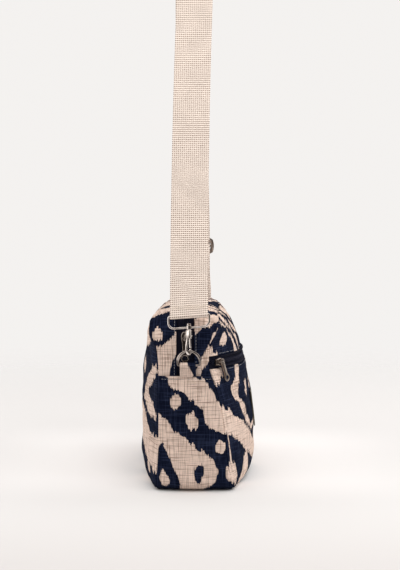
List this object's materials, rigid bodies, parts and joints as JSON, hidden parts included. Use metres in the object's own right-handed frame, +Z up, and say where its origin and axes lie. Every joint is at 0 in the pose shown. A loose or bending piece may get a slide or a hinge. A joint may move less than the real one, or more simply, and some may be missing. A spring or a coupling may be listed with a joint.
{
  "type": "shoulder bag",
  "caption": "Small zipped shoulder bag of patterned canvas with a zipped front pocket and a long webbing strap clipped to a ring at each end.",
  "frame": {"origin": "middle of the strap's top, on its underside, where the strap hangs on a shoulder or a peg", "axes": "+Z up; X along the bag's length with the zip pull's end at -X; the front pocket faces -Y"},
  "size_m": [0.2818, 0.1253, 0.6832],
  "materials": {
    "canvas": "navy and cream ikat canvas, plain weave, matt",
    "webbing": "cream cotton webbing, plain weave, matt",
    "zip_tape": "dark navy woven zip tape",
    "zip_coil": "dark navy nylon coil",
    "zip_metal": "antique nickel, satin",
    "nickel": "polished nickel",
    "label": "plain dark olive leather, bare"
  },
  "bodies": {
    "bag": {"front_panel": "canvas", "front_pocket": "canvas", "back_panel": "canvas", "bottom_gusset": "canvas", "top_gusset_front": "canvas", "top_gusset_back": "canvas", "main_zip_tape_front": "zip_tape", "main_zip_tape_back": "zip_tape", "main_zip_coil": "zip_coil", "main_zip_slider": "zip_metal", "front_zip_tape_upper": "zip_tape", "front_zip_tape_lower": "zip_tape", "front_zip_coil": "zip_coil", "front_zip_slider": "zip_metal", "pocket_label": "label", "left_tab": "canvas", "left_d_ring": "nickel", "left_swivel_loop": "nickel", "right_tab": "canvas", "right_d_ring": "nickel", "right_swivel_loop": "nickel", "strap": "webbing", "strap_slider": "nickel"},
    "left_hook": {"left_hook": "nickel"},
    "left_gate": {"left_gate": "nickel"},
    "right_hook": {"right_hook": "nickel"},
    "right_gate": {"right_gate": "nickel"},
    "main_pull": {"main_zip_pull": "zip_metal"},
    "front_pull": {"front_zip_pull": "zip_metal"}
  },
  "joints": [
    {"name": "left_hook_swivel", "type": "hinge", "parent": "bag", "child": "left_hook", "pos_m": [-0.13166, 0, -0.51464], "axis": [0.2079, 0, 0.9781], "range_deg": [0, 18]},
    {"name": "left_gate_press", "type": "hinge", "parent": "left_hook", "child": "left_gate", "pos_m": [-0.13167, -0.001, -0.52302], "axis": [0.4891, 0.866, -0.104], "range_deg": [0, 22], "stiffness_Nm_per_rad": 0.05},
    {"name": "right_hook_swivel", "type": "hinge", "parent": "bag", "child": "right_hook", "pos_m": [0.13166, 0, -0.51464], "axis": [0.2079, 0, -0.9781], "range_deg": [0, 62]},
    {"name": "right_gate_press", "type": "hinge", "parent": "right_hook", "child": "right_gate", "pos_m": [0.13167, -0.001, -0.52302], "axis": [0.4891, -0.866, 0.104], "range_deg": [0, 22], "stiffness_Nm_per_rad": 0.05},
    {"name": "main_pull_swing", "type": "hinge", "parent": "bag", "child": "main_pull", "pos_m": [-0.1297, 0.004, -0.52473], "axis": [0, 1, 0], "range_deg": [0, 10]},
    {"name": "front_pull_swing", "type": "hinge", "parent": "bag", "child": "front_pull", "pos_m": [-0.1133, -0.03192, -0.55105], "axis": [-0.0621, -0.0971, -0.9933], "range_deg": [0, 170]}
  ]
}
